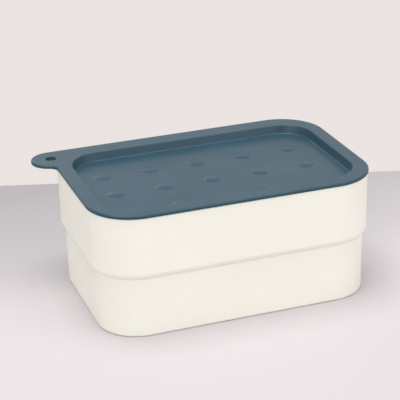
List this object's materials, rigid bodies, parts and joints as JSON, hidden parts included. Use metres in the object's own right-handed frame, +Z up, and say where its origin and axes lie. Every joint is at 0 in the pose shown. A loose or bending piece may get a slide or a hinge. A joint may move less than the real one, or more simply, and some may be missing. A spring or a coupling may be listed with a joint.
{
  "type": "covered soap dish",
  "caption": "Deep rounded box with a stepped shoulder, a flat lift-off lid that has a shallow domed pan and a hanging tab, and a slotted draining tray inside.",
  "frame": {"origin": "middle of the underside of the box, where it stands", "axes": "+Z up, +X along the length away from the lid's tab, +Y towards the long side that the tab lines up with"},
  "size_m": [0.1444, 0.092, 0.06],
  "materials": {
    "box_plastic": "satin cream moulded plastic",
    "lid_plastic": "satin blue-grey moulded plastic",
    "tray_plastic": "satin cream moulded plastic"
  },
  "bodies": {
    "dish": {"box": "box_plastic", "drain_tray": "tray_plastic"},
    "lid": {"lid": "lid_plastic"}
  },
  "joints": [
    {"name": "lid_lift", "type": "slide", "parent": "dish", "child": "lid", "axis": [0, 0, 1], "range_m": [0, 0.06]}
  ]
}
